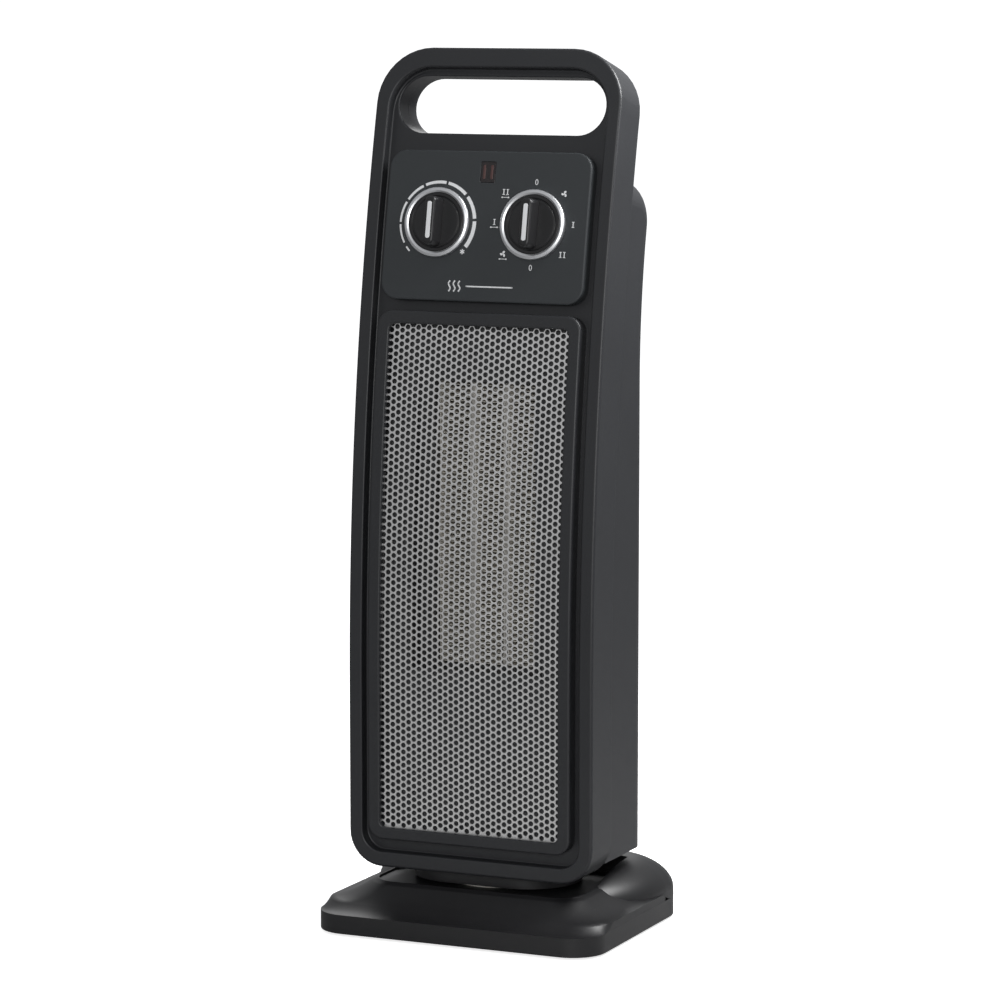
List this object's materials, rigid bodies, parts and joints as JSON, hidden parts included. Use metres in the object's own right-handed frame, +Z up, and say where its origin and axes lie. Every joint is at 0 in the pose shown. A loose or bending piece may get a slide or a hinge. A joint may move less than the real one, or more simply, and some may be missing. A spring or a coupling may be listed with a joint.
{
  "type": "ceramic tower heater",
  "caption": "Ceramic tower heater on an oscillating foot, with a leaning front, hand opening, two dials and a perforated grille.",
  "frame": {"origin": "centre of the foot's footprint, on the surface it stands on", "axes": "+Z up and the oscillation axis, -Y out of the front grille, +X to the viewer's right"},
  "size_m": [0.175, 0.138, 0.5015],
  "materials": {
    "shell_plastic": "satin moulded plastic with a fine grain",
    "panel_plastic": "flat fine matte plastic",
    "base_plastic": "satin black plastic with soft highlights",
    "knob_plastic": "satin black plastic",
    "knob_metal": "satin silver ring",
    "grille_metal": "bright perforated sheet",
    "inner_plastic": "heat-resistant dark grey moulding",
    "fin_metal": "bare aluminium fin",
    "ceramic": "heating ceramic between electrodes",
    "steel": "plated steel",
    "lamination": "varnished laminations",
    "winding": "enamelled copper winding under tape",
    "fan_plastic": "glass-filled black plastic",
    "white_plastic": "natural plastic",
    "rubber": "soft rubber",
    "lens": "dark red translucent lens",
    "lamp_glass": "clear glass lamp",
    "brass": "brass"
  },
  "bodies": {
    "foot": {"base_screw_1": "steel", "base_screw_2": "steel", "base_screw_3": "steel", "base_screw_4": "steel", "base_shell": "base_plastic", "foot_pad_1": "rubber", "foot_pad_2": "rubber", "foot_pad_3": "rubber", "foot_pad_4": "rubber", "bottom_plate": "fan_plastic", "cord_inlet": "rubber", "glide_ring": "white_plastic", "drive_motor": "steel", "tip_switch": "white_plastic"},
    "crank": {"crank_arm": "white_plastic", "crank_roller": "white_plastic"},
    "fan_rotor": {"impeller": "fan_plastic", "fan_shaft": "steel", "motor_rotor": "steel"},
    "thermostat_dial": {"thermostat_knob": "knob_plastic", "thermostat_knob_ring": "knob_metal", "thermostat_knob_spindle": "brass"},
    "selector_dial": {"selector_knob": "knob_plastic", "selector_knob_ring": "knob_metal", "selector_knob_spindle": "brass"},
    "tip_pin": {"tip_plunger": "white_plastic"},
    "tower": {"air_duct": "inner_plastic", "baffle_plate": "inner_plastic", "ceramic_bar_1": "ceramic", "ceramic_bar_2": "ceramic", "control_panel": "panel_plastic", "drive_lever": "white_plastic", "fan_scroll": "fan_plastic", "front_grille": "grille_metal", "front_shell": "shell_plastic", "grille_frame": "shell_plastic", "heater_holder": "inner_plastic", "heating_fins_1": "fin_metal", "heating_fins_2": "fin_metal", "heating_fins_3": "fin_metal", "motor_bracket_high": "steel", "motor_bracket_low": "steel", "motor_coil": "winding", "motor_stack": "lamination", "pilot_lamp": "lamp_glass", "pilot_lens": "lens", "rear_shell": "shell_plastic", "retaining_ring": "steel", "selector_body": "white_plastic", "shell_screw_1": "steel", "shell_screw_2": "steel", "shell_screw_3": "steel", "shell_screw_4": "steel", "terminal_block": "white_plastic", "thermal_cutout": "steel", "thermostat_body": "steel", "top_bearing": "brass", "tower_floor": "base_plastic"}
  },
  "joints": [
    {"name": "oscillation", "type": "hinge", "parent": "foot", "child": "tower", "pos_m": [0, 0, 0.03], "axis": [0, 0, 1], "range_deg": [-30, 30]},
    {"name": "drive_crank", "type": "hinge", "parent": "foot", "child": "crank", "pos_m": [-0.032, 0, 0.018], "axis": [0, 0, 1], "range_deg": [-91, 91]},
    {"name": "fan_spin", "type": "hinge", "parent": "tower", "child": "fan_rotor", "pos_m": [0, 0.0265, 0.23], "axis": [0, 0, 1], "continuous": true},
    {"name": "thermostat_turn", "type": "hinge", "parent": "tower", "child": "thermostat_dial", "pos_m": [-0.0294, -0.01607, 0.4035], "axis": [0, -0.9826, 0.1859], "range_deg": [-135, 135]},
    {"name": "selector_turn", "type": "hinge", "parent": "tower", "child": "selector_dial", "pos_m": [0.0294, -0.01607, 0.4035], "axis": [0, -0.9826, 0.1859], "continuous": true},
    {"name": "tip_pin_slide", "type": "slide", "parent": "foot", "child": "tip_pin", "axis": [0, 0, 1], "range_m": [-0.0035, 0], "stiffness_N_per_m": 300, "springref_m": -0.004}
  ],
  "couplings": [
    {"joint": "drive_crank", "follows": "oscillation", "ratio": 3.02}
  ]
}
